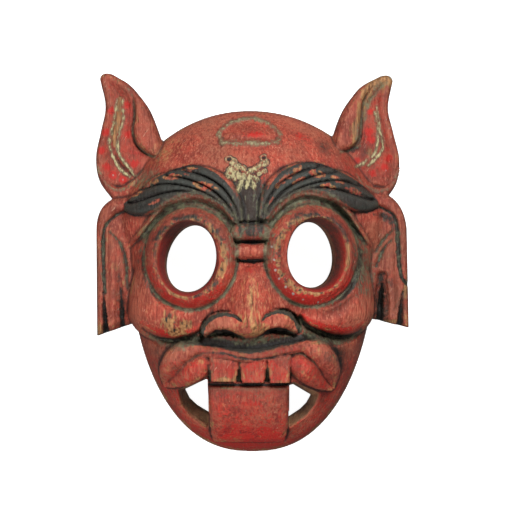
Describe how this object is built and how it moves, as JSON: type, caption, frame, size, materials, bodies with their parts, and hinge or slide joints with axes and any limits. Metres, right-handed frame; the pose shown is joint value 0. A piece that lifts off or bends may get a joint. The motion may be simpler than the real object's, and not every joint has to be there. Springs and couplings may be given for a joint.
{
  "type": "dance mask",
  "caption": "Hollow carved wooden mask of a fanged guardian face with horn-like upright ears, side ears, bored round eyes, ridged brows and a lolling tongue.",
  "frame": {"origin": "under the middle of the mask's outline, on the plane of its flat back rim", "axes": "+X to the viewer's right, +Y from the chin towards the crown, +Z out of the face"},
  "size_m": [0.2488, 0.3038, 0.0999],
  "materials": {
    "painted_wood": "worn red paint over carved wood"
  },
  "bodies": {
    "root": {"mask": "painted_wood"}
  },
  "joints": []
}
